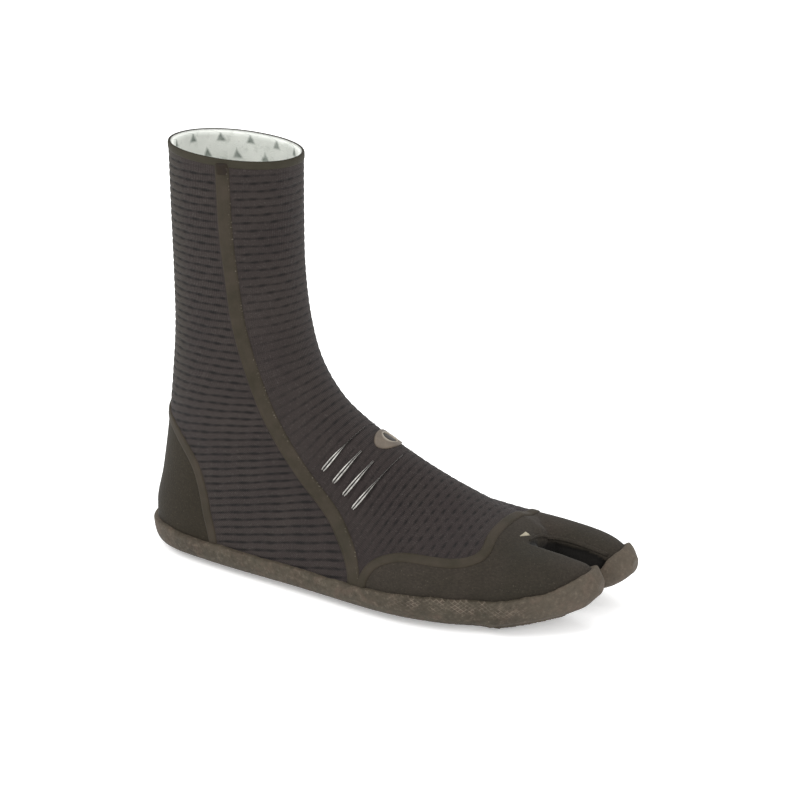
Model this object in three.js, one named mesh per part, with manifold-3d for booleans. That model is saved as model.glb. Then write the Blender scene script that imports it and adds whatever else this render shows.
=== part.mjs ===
// A pull-on neoprene surf boot with a split toe, for the right foot, in millimetres.
// +X points to the toes, +Y to the inner (medial) side, +Z up. The origin is on the ground, under the ankle.
//
// The boot is built over a last: a lofted foot that carries the four small toes, joined to a lofted big toe.
// Every layer (outsole, neoprene, lining, tape) is the space between two offsets of that last,
// cut along seam lines that are drawn in the side view.
import * as THREE from 'three';
import { mergeVertices } from 'three/addons/utils/BufferGeometryUtils.js';
import Module from 'manifold-3d';

const wasm = await Module();
wasm.setup();

// ---- driving dimensions -------------------------------------------------------------------------
const FOOT_LENGTH = 270;      // heel to big toe tip, over the neoprene
const SHAFT_HEIGHT = 230;     // ground to the top of the cuff, behind
const CUFF_FALL = 6;          // how much lower the cuff is in front
const BALL_WIDTH = 94;        // width over the neoprene at the ball of the foot
const CUFF_DEPTH = 72;        // front to back of the shaft at the cuff
const CUFF_WIDTH = 63;        // side to side of the shaft at the cuff
const CUFF_BACK = -35;        // where the cuff's back edge stands
const NEOPRENE = 3;           // thickness of the upper's panels
const LINING = 1;             // thickness of the thermal lining
const SOLE = 4.5;             // outsole under the foot
const RAND = 2.2;             // outsole where it wraps up the sides
const RAND_HEIGHT = 15;       // how far the outsole wraps up at the waist of the foot
const TOE_SPRING = 9;         // how far the sole lifts at the toe tips
const TAPE = 0.6;             // thickness of the seam tapes
const SEAM_TAPE_WIDTH = 7.6;  // side and back seams
const EDGE_TAPE_WIDTH = 5.4;  // heel and toe panel seams
const BACK_TAPE_WIDTH = 6;
const CUFF_EDGE = 4;          // height of the turned edge at the top
const PATCH = { width: 6.5, height: 7, thickness: 0.5 };    // sealing patch at the top of each side seam
const RIDGE = { width: 2.2, height: 1.3, pitch: 8.4 };      // grip ridges on the instep
const BADGE = { length: 13.5, width: 26, holeLength: 8.5, holeWidth: 8, height: 1 };   // plain oval
const TACK = { length: 4, width: 3.5, thickness: 0.6 };     // triangular tack behind the toe split
const GAP = 0.3;              // clearance between pieces that touch
const FLEX = { forward: 20, back: 30, margin: 2 };          // ankle flex, in degrees
const ANKLE = { x: 5, z: 96, half: 3, fall: 12 };           // flex axis, and its zone's height and fall

// ---- grading ------------------------------------------------------------------------------------
// Stations and seams are drawn on a base last, then graded to the driving dimensions.
const BASE = { length: 270, height: 230, width: 94, ankle: 130 };
const gradeX = x => x * FOOT_LENGTH / BASE.length;
const gradeY = y => y * BALL_WIDTH / BASE.width;
const gradeZ = z => z <= BASE.ankle ? z
  : BASE.ankle + (z - BASE.ankle) * (SHAFT_HEIGHT - BASE.ankle) / (BASE.height - BASE.ankle);
const grade = points => points.map(([x, z]) => new THREE.Vector2(gradeX(x), gradeZ(z)));

// ---- the last -----------------------------------------------------------------------------------
// Each station is a closed section in a plane across the foot:
// front x, front z, back x, back z, half width outside, half width inside, centre y at the front,
// centre y at the back, height share of the widest point, squareness in front, squareness behind
// The cuff keeps its own sizes when the foot is graded.
const CUFF_FRONT = CUFF_BACK + CUFF_DEPTH;
const cuffHalf = CUFF_WIDTH / 2 * BASE.width / BALL_WIDTH;
const cuffFront = CUFF_FRONT * BASE.length / FOOT_LENGTH;
const cuffBack = CUFF_BACK * BASE.length / FOOT_LENGTH;
const FOOT = [
  [cuffFront,       250, cuffBack, 250, cuffHalf,       cuffHalf,        0,  0, .50, 2.1, 2.1],
  [cuffFront,       230, cuffBack, 230, cuffHalf,       cuffHalf,        0,  0, .50, 2.1, 2.1],
  [cuffFront + .3,  193, cuffBack, 193, cuffHalf - 1.5, cuffHalf - 1.5,  0,  0, .50, 2.1, 2.1],
  [cuffFront + 1.5, 163, cuffBack, 160, cuffHalf - 3.5, cuffHalf - 3.5,  0,  0, .50, 2.1, 2.1],
  [ 42, 136, -35, 128, 28.5, 28.5,  0,  0, .50, 2.1, 2.1],
  [ 49, 114, -37.5, 97,  30,   30,  0,  0, .48, 2.1, 2.1],
  [ 62,  96, -41,  69,   32,   32,  0,  0, .46, 2.1, 2.1],
  [ 78,  84, -45,  44,   34,   34,  1,  0, .43, 2.1, 2.1],
  [ 95,  75, -49,  23,   35,   35,  2,  0, .40, 2.1, 2.2],
  [111,  67, -42,   7,   36,   36,  3,  0, .38, 2.1, 2.6],
  [125,  60,  -8, 4.5, 37.5,   38,  4, -1, .36, 2.1, 3.2],
  [139,  53,  52, 4.5, 43.5,   41,  5, -1, .34, 2.1, 3.2],
  [151,  48, 108, 4.5,   50,   43,  3,  0, .34, 2.2, 3.2],
  [161, 45.5, 142, 4.8,  46,   43,  1,  0, .35, 2.3, 3.2],
  [170, 42.5, 161, 5.4,  40,   41,  1,  1, .36, 2.5, 3.2],
  [178,  40, 172, 6.5,   29,   14, -9, -9, .38, 2.8, 3.0],
  [194, 36.5, 192, 10.5, 19,   11, -8, -8, .44, 2.7, 2.7],
  [206, 32.5, 205, 15,    9,    9, -5, -5, .48, 2.5, 2.4],
  [212,  25, 212,  22,    2,    2, -4, -4, .50, 2.2, 2.2],
];
const BIG_TOE = [
  [ 96,  43,  96,  14,   15,   15, 26, 26, .40, 2.2, 3.0],
  [126,  44, 121, 4.5,   17,   18, 27, 27, .38, 2.2, 3.2],
  [155,  42, 152, 4.5,   15,   17, 28, 28, .38, 2.3, 3.2],
  [180, 39.5, 178, 6.5, 14.5, 15.5, 29, 29, .42, 2.6, 2.8],
  [201,  37, 201, 12.5,  13,   13, 28, 28, .44, 2.6, 2.7],
  [213, 32.5, 213, 18,    9,    9, 27, 27, .46, 2.4, 2.5],
  [218.5, 26.5, 218.5, 24, 2,   2, 26, 26, .50, 2.2, 2.2],
];
const TIP_STATIONS = 2;       // stations that move with the thickness of the toe's end wall
const SMALLEST_HALF = 0.6;    // a tip never closes to less than this

const mix = THREE.MathUtils.lerp;

// Grades a station, and moves its outline out by `offset` (in when negative).
function offsetStation(row, offset, tipShare) {
  const [fx, fz, bx, bz, outer, inner, yFront, yBack, wide, squareFront, squareBack] = row;
  const front = new THREE.Vector2(gradeX(fx), gradeZ(fz));
  const back = new THREE.Vector2(gradeX(bx), gradeZ(bz));
  const across = front.clone().sub(back);
  const reach = Math.max(across.length() / 2 + offset, SMALLEST_HALF);
  const middle = front.clone().add(back).multiplyScalar(0.5);
  middle.x += offset * tipShare;
  across.normalize().multiplyScalar(reach);
  front.copy(middle).add(across);
  back.copy(middle).sub(across);
  return {
    front, back, wide, squareFront, squareBack,
    outer: Math.max(gradeY(outer) + offset, SMALLEST_HALF),
    inner: Math.max(gradeY(inner) + offset, SMALLEST_HALF),
    yFront: gradeY(yFront), yBack: gradeY(yBack),
  };
}

// A point of a station's outline. Turn 0 is the front, and a quarter turn is the outer side.
function outlinePoint(s, turn) {
  const c = Math.cos(turn), d = Math.sin(turn);
  const power = 2 / (c >= 0 ? s.squareFront : s.squareBack);
  const reach = Math.abs(c) ** power;
  const share = c >= 0 ? s.wide + (1 - s.wide) * reach : s.wide - s.wide * reach;
  const half = d >= 0 ? s.outer : s.inner;
  return new THREE.Vector3(
    mix(s.back.x, s.front.x, share),
    mix(s.yBack, s.yFront, share) - Math.sign(d) * half * Math.abs(d) ** power,
    mix(s.back.y, s.front.y, share));
}

// How far the sole is lifted at x: nothing back to the ball, then a smooth rise to the toes.
const SPRING_START = gradeX(140), SPRING_END = gradeX(225);
const springAt = x => TOE_SPRING * THREE.MathUtils.smoothstep(x, SPRING_START, SPRING_END);

const COLUMNS = 22;

// A closed loft through the stations, grown by `offset`. Its underside lies flat at `underside`
// above the sprung ground. Where that is lower than the offset alone reaches, the lowest part of
// the side wall is stretched down to it, and pressed flat against it.
const SIDE_WALL = 14;         // height over which the wall stretches
const PRESS = 2.2;            // how far its foot is pressed flat
function loft(stations, offset, underside) {
  const rows = stations.length - 1;
  const drop = SOLE - offset - underside;
  const stretch = drop > 0 ? drop + PRESS : 0;
  const points = [];
  for (let r = 0; r <= rows; r++) {
    const tipShare = THREE.MathUtils.clamp((r - (rows - TIP_STATIONS)) / TIP_STATIONS, 0, 1);
    const s = offsetStation(stations[r], offset, tipShare);
    for (let c = 0; c < COLUMNS; c++) {
      const p = outlinePoint(s, 2 * Math.PI * c / COLUMNS);
      p.z -= stretch * (1 - THREE.MathUtils.smoothstep(p.z, SOLE, SOLE + SIDE_WALL));
      p.z = Math.max(p.z, underside + springAt(p.x));
      points.push(p);
    }
  }
  const cap = from => points.slice(from, from + COLUMNS)
    .reduce((sum, p) => sum.add(p), new THREE.Vector3()).divideScalar(COLUMNS);
  points.push(cap(0), cap(rows * COLUMNS));
  const first = points.length - 2, final = points.length - 1;
  const index = [];
  for (let c = 0; c < COLUMNS; c++) {
    const n = (c + 1) % COLUMNS;
    for (let r = 0; r < rows; r++) {
      const a = r * COLUMNS + c, b = r * COLUMNS + n;
      index.push(a, b, a + COLUMNS, b, b + COLUMNS, a + COLUMNS);
    }
    index.push(first, n, c, final, rows * COLUMNS + c, rows * COLUMNS + n);
  }
  const geometry = new THREE.BufferGeometry().setFromPoints(points);
  geometry.setIndex(index);
  return geometry;
}

// ---- solids -------------------------------------------------------------------------------------
const MERGE = 1e-3;

function solid(geometry) {
  const bare = geometry.index ? geometry.clone() : geometry;
  bare.deleteAttribute('normal');
  bare.deleteAttribute('uv');
  const merged = mergeVertices(bare, MERGE);
  return new wasm.Manifold(new wasm.Mesh({
    numProp: 3,
    vertProperties: Float32Array.from(merged.attributes.position.array),
    triVerts: Uint32Array.from(merged.index.array),
  }));
}

// The whole last, grown by `offset`. `underside` is the height of its flat sole.
const lastCache = new Map();
function last(offset, underside = SOLE - offset) {
  const key = offset + '/' + underside;
  if (!lastCache.has(key)) {
    const foot = solid(loft(FOOT, offset, underside));
    lastCache.set(key, foot.add(solid(loft(BIG_TOE, offset, underside))));
  }
  return lastCache.get(key);
}

const layer = (inner, outer) => last(outer).subtract(last(inner));

const FAR = 400;              // beyond every surface of the boot

// A side-view outline of (x, z) points, pushed through the boot between two y values.
function prism(outline, y0 = -FAR, y1 = FAR) {
  const geometry = new THREE.ExtrudeGeometry(new THREE.Shape(outline), { depth: y1 - y0, bevelEnabled: false });
  geometry.rotateX(Math.PI / 2);
  geometry.translate(0, y1, 0);
  return solid(geometry);
}

const v2 = (x, z) => new THREE.Vector2(x, z);

// Moves a side-view line sideways: to its left, seen along its direction, when positive.
function shifted(line, distance) {
  return line.map((p, i) => {
    const along = line[Math.min(i + 1, line.length - 1)].clone().sub(line[Math.max(i - 1, 0)]).normalize();
    return v2(p.x - along.y * distance, p.y + along.x * distance);
  });
}

const band = (line, width) => prism([...shifted(line, -width / 2), ...shifted(line, width / 2).reverse()]);
const smooth = (points, steps) => new THREE.SplineCurve(grade(points)).getPoints(steps);

// ---- seam lines, in the side view ---------------------------------------------------------------
const SEAM_STEPS = 14;
const HEEL_SEAM_STEPS = 10;
const TOE_SEAM_STEPS = 16;
// From the cuff down the side of the shaft, then forward to the sole.
const sideSeam = smooth([[11, 255], [11, 204], [12.5, 170], [18, 134], [32, 97], [54, 65], [78, 41], [91, 27],
  [95.5, 15], [96, -10]], SEAM_STEPS);
// From behind the heel, down and forward to the sole.
const heelSeam = smooth([[-60, 90], [-38, 80.5], [-24, 73], [-9, 59], [-3, 45], [0, 31], [3.5, 18], [6, -10]],
  HEEL_SEAM_STEPS);
// From the sole up in a wave, and over the top of the foot behind the toes.
const toeSeam = smooth([[99, -10], [100, 17], [104, 26.5], [111, 31], [121, 34], [134, 35.2], [149, 36],
  [158, 38], [161, 41], [159, 46], [158, 60], [158, 90]], TOE_SEAM_STEPS);

const half = GAP / 2;
const region = {
  heel: [...shifted(heelSeam, -half), v2(-FAR, -10)],
  quarter: [...shifted(sideSeam, -half), ...shifted(heelSeam, half).reverse(), v2(-FAR, FAR)],
  front: [...shifted(sideSeam, half), ...shifted(toeSeam, half), v2(FAR, 90), v2(FAR, FAR)],
  toe: [...shifted(toeSeam, -half), v2(FAR, 90), v2(FAR, -10)],
};

// The upper's panels end at a bottom seam that follows the sprung sole.
const BOTTOM_SEAM = SOLE + NEOPRENE + 0.8;
const SPRING_STEPS = 8;
function springLine(z) {
  const points = [v2(-FAR, z)];
  for (let i = 0; i <= SPRING_STEPS; i++) {
    const x = mix(SPRING_START, SPRING_END, i / SPRING_STEPS);
    points.push(v2(x, z + springAt(x)));
  }
  return [...points, v2(FAR, z + TOE_SPRING)];
}
const below = line => prism([v2(line[0].x, -FAR), v2(line.at(-1).x, -FAR), ...line.slice().reverse()]);
const above = line => prism([...line, v2(line.at(-1).x, FAR), v2(line[0].x, FAR)]);

// The cuff slopes down to the front. A cuff line runs \`drop\` below its top.
const rimHeight = x => SHAFT_HEIGHT - CUFF_FALL * (x - CUFF_BACK) / CUFF_DEPTH;
const cuffLine = drop => [v2(-FAR, rimHeight(-FAR) - drop), v2(FAR, rimHeight(FAR) - drop)];

// The rand's upper edge: it rises a little round the heel, and covers both toe tips.
const RAND_HEEL = 16, RAND_TIP = 35;
const randCurve = smooth([[-60, RAND_HEEL], [-32, 15.8], [0, RAND_HEIGHT], [60, RAND_HEIGHT], [100, RAND_HEIGHT],
  [125, 17.2], [165, 18.6], [184, 21], [198, 24.5], [209, 31.5], [216, RAND_TIP]], SEAM_STEPS);
const randLine = (lift = 0) => [v2(-FAR, RAND_HEEL), ...randCurve, v2(FAR, gradeZ(RAND_TIP))]
  .map(p => v2(p.x, p.y + lift));

// ---- the ankle flex zone ------------------------------------------------------------------------
// The sleeve creases in a bow-tie zone round the flex axis: open enough in front for the forward lean,
// and behind for the backward lean. Its lower edge is level in front of the axis, and falls behind it.
const ankle = v2(gradeX(ANKLE.x), ANKLE.z);
const lean = THREE.MathUtils.degToRad;
function ankleLine(side, frontAngle, backAngle) {
  const z = ankle.y + side * ANKLE.half;
  return [v2(-FAR, z + (ankle.x + FAR) * Math.tan(lean(backAngle))), v2(ankle.x, z),
    v2(FAR, z + (FAR - ankle.x) * Math.tan(lean(frontAngle)))];
}
const zoneLow = ankleLine(-1, 0, -ANKLE.fall);
const zoneHigh = ankleLine(1, FLEX.forward + FLEX.margin, FLEX.back + FLEX.margin - ANKLE.fall);
const footPart = below(shifted(zoneLow, -half));
const zonePart = above(shifted(zoneLow, half)).intersect(below(shifted(zoneHigh, -half)));
const shaftPart = above(shifted(zoneHigh, half));

// ---- materials ----------------------------------------------------------------------------------
const material = (color, roughness) => new THREE.MeshStandardMaterial({ color, roughness, metalness: 0 });
const MATERIAL = {
  ribbed: material(0x423d3b, 0.85),
  knit: material(0x3b3833, 0.9),
  bottom: material(0x2c2a28, 0.9),
  lining: material(0xd6dad2, 0.95),
  rubber: material(0x5a5048, 0.7),
  tape: material(0x4a443d, 0.55),
  edge: material(0x3d3a30, 0.7),
  grip: material(0x2f2c28, 0.3),
  badge: material(0x6b5f54, 0.4),
};

const boot = new THREE.Group();
boot.name = 'neoprene_boot';

function add(name, body, finish) {
  const { vertProperties, numProp, triVerts } = body.getMesh();
  const points = new Float32Array(vertProperties.length / numProp * 3);
  for (let i = 0; i < points.length / 3; i++) {
    points.set(vertProperties.subarray(i * numProp, i * numProp + 3), i * 3);
  }
  const geometry = new THREE.BufferGeometry();
  geometry.setAttribute('position', new THREE.BufferAttribute(points, 3));
  geometry.setIndex(new THREE.BufferAttribute(Uint32Array.from(triVerts), 1));
  geometry.computeVertexNormals();
  const mesh = new THREE.Mesh(geometry, finish);
  mesh.name = name;
  boot.add(mesh);
}

// Adds a piece that crosses the ankle as its foot, flex zone and shaft parts.
function addAcrossAnkle(names, body, finish) {
  [footPart, zonePart, shaftPart].forEach((part, i) => {
    if (names[i]) add(names[i], body.intersect(part), finish);
  });
}

// ---- upper --------------------------------------------------------------------------------------
const neoprene = layer(-NEOPRENE, 0)
  .intersect(below(cuffLine(CUFF_EDGE + GAP)))
  .intersect(above(springLine(BOTTOM_SEAM + GAP)));

add('heel_panel', neoprene.intersect(prism(region.heel)), MATERIAL.knit);
add('toe_panel', neoprene.intersect(prism(region.toe)), MATERIAL.knit);
addAcrossAnkle(['front_panel_instep', 'front_panel_ankle', 'front_panel_shin'],
  neoprene.intersect(prism(region.front)), MATERIAL.ribbed);
for (const [side, y0, y1] of [['lateral', -FAR, -half], ['medial', half, FAR]]) {
  addAcrossAnkle([`${side}_quarter_foot`, `${side}_quarter_ankle`, `${side}_quarter_shaft`],
    neoprene.intersect(prism(region.quarter, y0, y1)), MATERIAL.ribbed);
}
add('bottom_panel', layer(-NEOPRENE, 0).intersect(below(springLine(BOTTOM_SEAM))), MATERIAL.bottom);

add('cuff_edge', layer(-NEOPRENE, 0)
  .intersect(below(cuffLine(0)))
  .intersect(above(cuffLine(CUFF_EDGE))), MATERIAL.edge);

// ---- lining -------------------------------------------------------------------------------------
const liningOuter = -NEOPRENE - GAP;
addAcrossAnkle(['foot_lining', 'ankle_lining', 'shaft_lining'],
  layer(liningOuter - LINING, liningOuter).intersect(below(cuffLine(1))), MATERIAL.lining);

// ---- outsole ------------------------------------------------------------------------------------
add('outsole', last(RAND + GAP, 0).subtract(last(GAP)).intersect(below(randLine())), MATERIAL.rubber);

// ---- seam tapes ---------------------------------------------------------------------------------
const tapeLayer = layer(GAP, GAP + TAPE)
  .intersect(above(randLine(GAP)))
  .intersect(below(cuffLine(1)));
const sideBand = band(sideSeam, SEAM_TAPE_WIDTH);
const sideBandClear = band(sideSeam, SEAM_TAPE_WIDTH + 2 * GAP);
const sides = [['lateral', prism([v2(-FAR, -FAR), v2(FAR, -FAR), v2(FAR, FAR), v2(-FAR, FAR)], -FAR, 0)],
  ['medial', prism([v2(-FAR, -FAR), v2(FAR, -FAR), v2(FAR, FAR), v2(-FAR, FAR)], 0, FAR)]];
for (const [side, part] of sides) {
  addAcrossAnkle([`${side}_tape_foot`, `${side}_tape_ankle`, `${side}_tape_shaft`],
    tapeLayer.intersect(sideBand).intersect(part), MATERIAL.tape);
}
add('toe_tape', tapeLayer.intersect(band(toeSeam, EDGE_TAPE_WIDTH)).subtract(sideBandClear), MATERIAL.tape);
add('heel_tape', tapeLayer.intersect(band(heelSeam, EDGE_TAPE_WIDTH)), MATERIAL.tape);

const HEEL_APEX = 88;         // the back seam's tape starts above the heel tape
const backStrip = prism([v2(-FAR, HEEL_APEX), v2(ankle.x, HEEL_APEX), v2(ankle.x, FAR), v2(-FAR, FAR)],
  -BACK_TAPE_WIDTH / 2, BACK_TAPE_WIDTH / 2);
addAcrossAnkle([null, 'back_tape_ankle', 'back_tape_shaft'], tapeLayer.intersect(backStrip), MATERIAL.tape);

// ---- small parts on the shaft -------------------------------------------------------------------
const seamTopX = gradeX(11);
const patchTop = rimHeight(seamTopX) - 2;
const patchOutline = [v2(seamTopX - PATCH.width / 2, patchTop - PATCH.height),
  v2(seamTopX + PATCH.width / 2, patchTop - PATCH.height),
  v2(seamTopX + PATCH.width / 2, patchTop), v2(seamTopX - PATCH.width / 2, patchTop)];
const patchInner = 2 * GAP + TAPE;
for (const [side, part] of sides) {
  add(`${side}_tape_patch`, layer(patchInner, patchInner + PATCH.thickness)
    .intersect(prism(patchOutline)).intersect(part), MATERIAL.edge);
}

// ---- grip ridges and badge on the instep --------------------------------------------------------
// The ridges lie in planes square to the instep, which falls towards the toes.
const instep = { at: v2(gradeX(88), gradeZ(77)), fall: lean(33) };
const alongInstep = v2(Math.cos(instep.fall), -Math.sin(instep.fall));
const outOfInstep = v2(Math.sin(instep.fall), Math.cos(instep.fall));
const INSTEP_MIDDLE = gradeY(3);
const ridgeReach = [28, 28, 28.5, 30].map(gradeY);
const ridgeInner = { lateral: [5, 16, 16, 5].map(gradeY), medial: [5, 19, 19, 5].map(gradeY) };
const RIDGE_DEPTH = 45;       // how far below the instep the ridges' planes are cut
const gripLayer = layer(GAP, GAP + RIDGE.height).subtract(sideBandClear);
ridgeReach.forEach((reach, i) => {
  const offset = (i - 1.5) * RIDGE.pitch;
  const line = [-RIDGE_DEPTH, RIDGE_DEPTH].map(depth => instep.at.clone()
    .addScaledVector(alongInstep, offset).addScaledVector(outOfInstep, depth));
  const strip = [...shifted(line, -RIDGE.width / 2), ...shifted(line, RIDGE.width / 2).reverse()];
  const lateral = prism(strip, INSTEP_MIDDLE - reach, INSTEP_MIDDLE - ridgeInner.lateral[i]);
  const medial = prism(strip, INSTEP_MIDDLE + ridgeInner.medial[i], INSTEP_MIDDLE + reach);
  add(`lateral_grip_ridge_${i + 1}`, gripLayer.intersect(lateral), MATERIAL.grip);
  add(`medial_grip_ridge_${i + 1}`, gripLayer.intersect(medial), MATERIAL.grip);
});

// An oval post square to the instep.
const BADGE_MIDDLE = gradeY(6.5);
const OVAL_SIDES = 24;
const POST_DEPTH = 20;
function ovalPost(length, width) {
  const oval = new THREE.Shape().absellipse(0, 0, length / 2, width / 2, 0, 2 * Math.PI);
  const geometry = new THREE.ExtrudeGeometry(oval,
    { depth: 2 * POST_DEPTH, bevelEnabled: false, curveSegments: OVAL_SIDES / 2 });
  geometry.translate(0, 0, -POST_DEPTH);
  geometry.rotateY(instep.fall);
  geometry.translate(instep.at.x, BADGE_MIDDLE, instep.at.y);
  return solid(geometry);
}
add('badge_ring', layer(GAP, GAP + BADGE.height)
  .intersect(ovalPost(BADGE.length, BADGE.width))
  .subtract(ovalPost(BADGE.holeLength, BADGE.holeWidth)), MATERIAL.badge);
add('badge_pad', layer(GAP, GAP + BADGE.height / 2)
  .intersect(ovalPost(BADGE.holeLength - 2 * GAP, BADGE.holeWidth - 2 * GAP)), MATERIAL.grip);

// ---- tack behind the toe split ------------------------------------------------------------------
const tack = { x: gradeX(173), y: gradeY(-2) };
const tackShape = new THREE.Shape([v2(tack.x - TACK.length, tack.y), v2(tack.x, tack.y - TACK.width / 2),
  v2(tack.x, tack.y + TACK.width / 2)]);
const tackPost = new THREE.ExtrudeGeometry(tackShape, { depth: 2 * POST_DEPTH, bevelEnabled: false });
tackPost.translate(0, 0, POST_DEPTH);
add('split_tack', layer(GAP, GAP + TACK.thickness).intersect(solid(tackPost)), MATERIAL.badge);

export default boot;
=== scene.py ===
import math

import bpy
import numpy as np
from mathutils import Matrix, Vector
from mathutils.bvhtree import BVHTree


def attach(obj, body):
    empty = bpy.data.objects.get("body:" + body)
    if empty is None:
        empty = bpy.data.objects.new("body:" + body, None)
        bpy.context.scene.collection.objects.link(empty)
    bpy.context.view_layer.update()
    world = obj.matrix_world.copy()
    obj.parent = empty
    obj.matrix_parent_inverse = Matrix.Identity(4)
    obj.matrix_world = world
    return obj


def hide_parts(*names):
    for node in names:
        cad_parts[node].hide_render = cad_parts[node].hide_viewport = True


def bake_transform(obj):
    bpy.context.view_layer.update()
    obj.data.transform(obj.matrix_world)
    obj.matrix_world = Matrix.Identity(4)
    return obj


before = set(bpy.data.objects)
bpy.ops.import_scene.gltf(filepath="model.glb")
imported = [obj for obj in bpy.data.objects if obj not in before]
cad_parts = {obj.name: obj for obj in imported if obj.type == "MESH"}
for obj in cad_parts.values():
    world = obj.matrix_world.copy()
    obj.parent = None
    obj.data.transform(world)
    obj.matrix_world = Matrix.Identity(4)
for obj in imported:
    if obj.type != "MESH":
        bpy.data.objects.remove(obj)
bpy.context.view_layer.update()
MM = 0.001

# ---- the last: the same stations as the CAD ----
# front x, front z, back x, back z, half width outside, half width inside, centre y front, centre y back,
# height share of the widest point, squareness front, squareness back
FOOT = np.array([
    [37, 250, -35, 250, 31.5, 31.5, 0, 0, 0.50, 2.1, 2.1],
    [37, 230, -35, 230, 31.5, 31.5, 0, 0, 0.50, 2.1, 2.1],
    [37.3, 193, -35, 193, 30, 30, 0, 0, 0.50, 2.1, 2.1],
    [38.5, 163, -35, 160, 28, 28, 0, 0, 0.50, 2.1, 2.1],
    [42, 136, -35, 128, 28.5, 28.5, 0, 0, 0.50, 2.1, 2.1],
    [49, 114, -37.5, 97, 30, 30, 0, 0, 0.48, 2.1, 2.1],
    [62, 96, -41, 69, 32, 32, 0, 0, 0.46, 2.1, 2.1],
    [78, 84, -45, 44, 34, 34, 1, 0, 0.43, 2.1, 2.1],
    [95, 75, -49, 23, 35, 35, 2, 0, 0.40, 2.1, 2.2],
    [111, 67, -42, 7, 36, 36, 3, 0, 0.38, 2.1, 2.6],
    [125, 60, -8, 4.5, 37.5, 38, 4, -1, 0.36, 2.1, 3.2],
    [139, 53, 52, 4.5, 43.5, 41, 5, -1, 0.34, 2.1, 3.2],
    [151, 48, 108, 4.5, 50, 43, 3, 0, 0.34, 2.2, 3.2],
    [161, 45.5, 142, 4.8, 46, 43, 1, 0, 0.35, 2.3, 3.2],
    [170, 42.5, 161, 5.4, 40, 41, 1, 1, 0.36, 2.5, 3.2],
    [178, 40, 172, 6.5, 29, 14, -9, -9, 0.38, 2.8, 3.0],
    [194, 36.5, 192, 10.5, 19, 11, -8, -8, 0.44, 2.7, 2.7],
    [206, 32.5, 205, 15, 9, 9, -5, -5, 0.48, 2.5, 2.4],
    [212, 25, 212, 22, 2, 2, -4, -4, 0.50, 2.2, 2.2],
])
BIG_TOE = np.array([
    [96, 43, 96, 14, 15, 15, 26, 26, 0.40, 2.2, 3.0],
    [126, 44, 121, 4.5, 17, 18, 27, 27, 0.38, 2.2, 3.2],
    [155, 42, 152, 4.5, 15, 17, 28, 28, 0.38, 2.3, 3.2],
    [180, 39.5, 178, 6.5, 14.5, 15.5, 29, 29, 0.42, 2.6, 2.8],
    [201, 37, 201, 12.5, 13, 13, 28, 28, 0.44, 2.6, 2.7],
    [213, 32.5, 213, 18, 9, 9, 27, 27, 0.46, 2.4, 2.5],
    [218.5, 26.5, 218.5, 24, 2, 2, 26, 26, 0.50, 2.2, 2.2],
])
# fills the dip between the two lobes, behind the split
WEB = np.array([
    [148, 46.5, 144, 20, 11, 11, 12, 12, 0.45, 3.0, 2.2],
    [159, 45.2, 155, 20, 13, 13, 12, 12, 0.45, 3.0, 2.2],
    [168, 43.0, 166, 20, 12, 12, 11, 11, 0.45, 3.0, 2.2],
    [174, 40.5, 173, 24, 10, 10, 10, 10, 0.45, 2.8, 2.2],
    [177, 36.0, 177, 30, 5, 5, 10, 10, 0.50, 2.4, 2.2],
])
HEIGHT = 230.0            # at the back of the mouth
CUFF_FALL = 6.0           # how much lower the mouth's front is
SOLE = 4.5
RAND = 2.2
GAP = 0.3
PRESS = 2.2               # how far the sole is pressed flat on the floor
RIB_PITCH = 4.1
FRONT_RIB = 0.28          # depth of the front panel's ribs
REAR_RIB = 0.36
SKIRT = 2.0               # how deep a panel's edges turn in
SEAM_TAPE = (7.6, 0.75)   # width and height
EDGE_TAPE = (5.4, 0.65)
BACK_TAPE = (6.0, 0.7)
TAPE_PATCH = (6.8, 1.15)
TAPE_TOP = 3.5            # from the rim down to the tapes' ends
UNDER_CUFF = 1.2          # from the rim down to the panels' tops
UNDER_RAND = 4            # how far the panels go down behind the rubber
TAPE_TUCK = 3             # and the tapes
SEAM_LAP = 0.6            # how far a panel runs past its seam line
LINING_FACES = (3.2, 2.2)
TREAD_PITCH = 6.5
TREAD_DEPTH = 0.7
RIDGE = (2.7, 1.1)
RIDGE_PITCH = 8.4
RIDGE_REACHES = (28, 28, 28.5, 30)
BADGE_HOLE = np.array([8.5, 8.0])
BADGE_OUTER = np.array([13.5, 26.0])
PAD = (7.9, 7.4)


def smoothstep(x, a, b):
    t = np.clip((x - a) / (b - a), 0, 1)
    return t * t * (3 - 2 * t)


def catmull(rows, t):
    """Rows of a table at the fractional row numbers t, on a Catmull-Rom curve with straight ends."""
    rows = np.asarray(rows, float)
    padded = np.vstack([2 * rows[0] - rows[1], rows, 2 * rows[-1] - rows[-2]])
    i = np.clip(np.floor(t).astype(int), 0, len(rows) - 2)
    f = (t - i)[:, None]
    p0, p1, p2, p3 = (padded[i + k] for k in range(4))
    return 0.5 * (2 * p1 + (p2 - p0) * f + (2 * p0 - 5 * p1 + 4 * p2 - p3) * f**2
                  + (3 * p1 - p0 - 3 * p2 + p3) * f**3)


def run_length(line):
    """Length along a line up to each of its points."""
    return np.concatenate([[0], np.cumsum(np.linalg.norm(np.diff(line, axis=0), axis=1))])


def pairs(u, v):
    """Surface coordinates of a grid, u along its rows and v down its columns, as one pair for each point."""
    return np.stack(np.broadcast_arrays(u[None, :], v[:, None]), -1).reshape(-1, 2)


def spring(x):
    """How far the toes lift off the floor."""
    return 9.0 * smoothstep(x, 140, 225)


def rim(x):
    """Height of the mouth's rim, which falls from back to front."""
    front, back = FOOT[1, 0], FOOT[1, 2]
    return HEIGHT - CUFF_FALL * (x - back) / (front - back)


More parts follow.
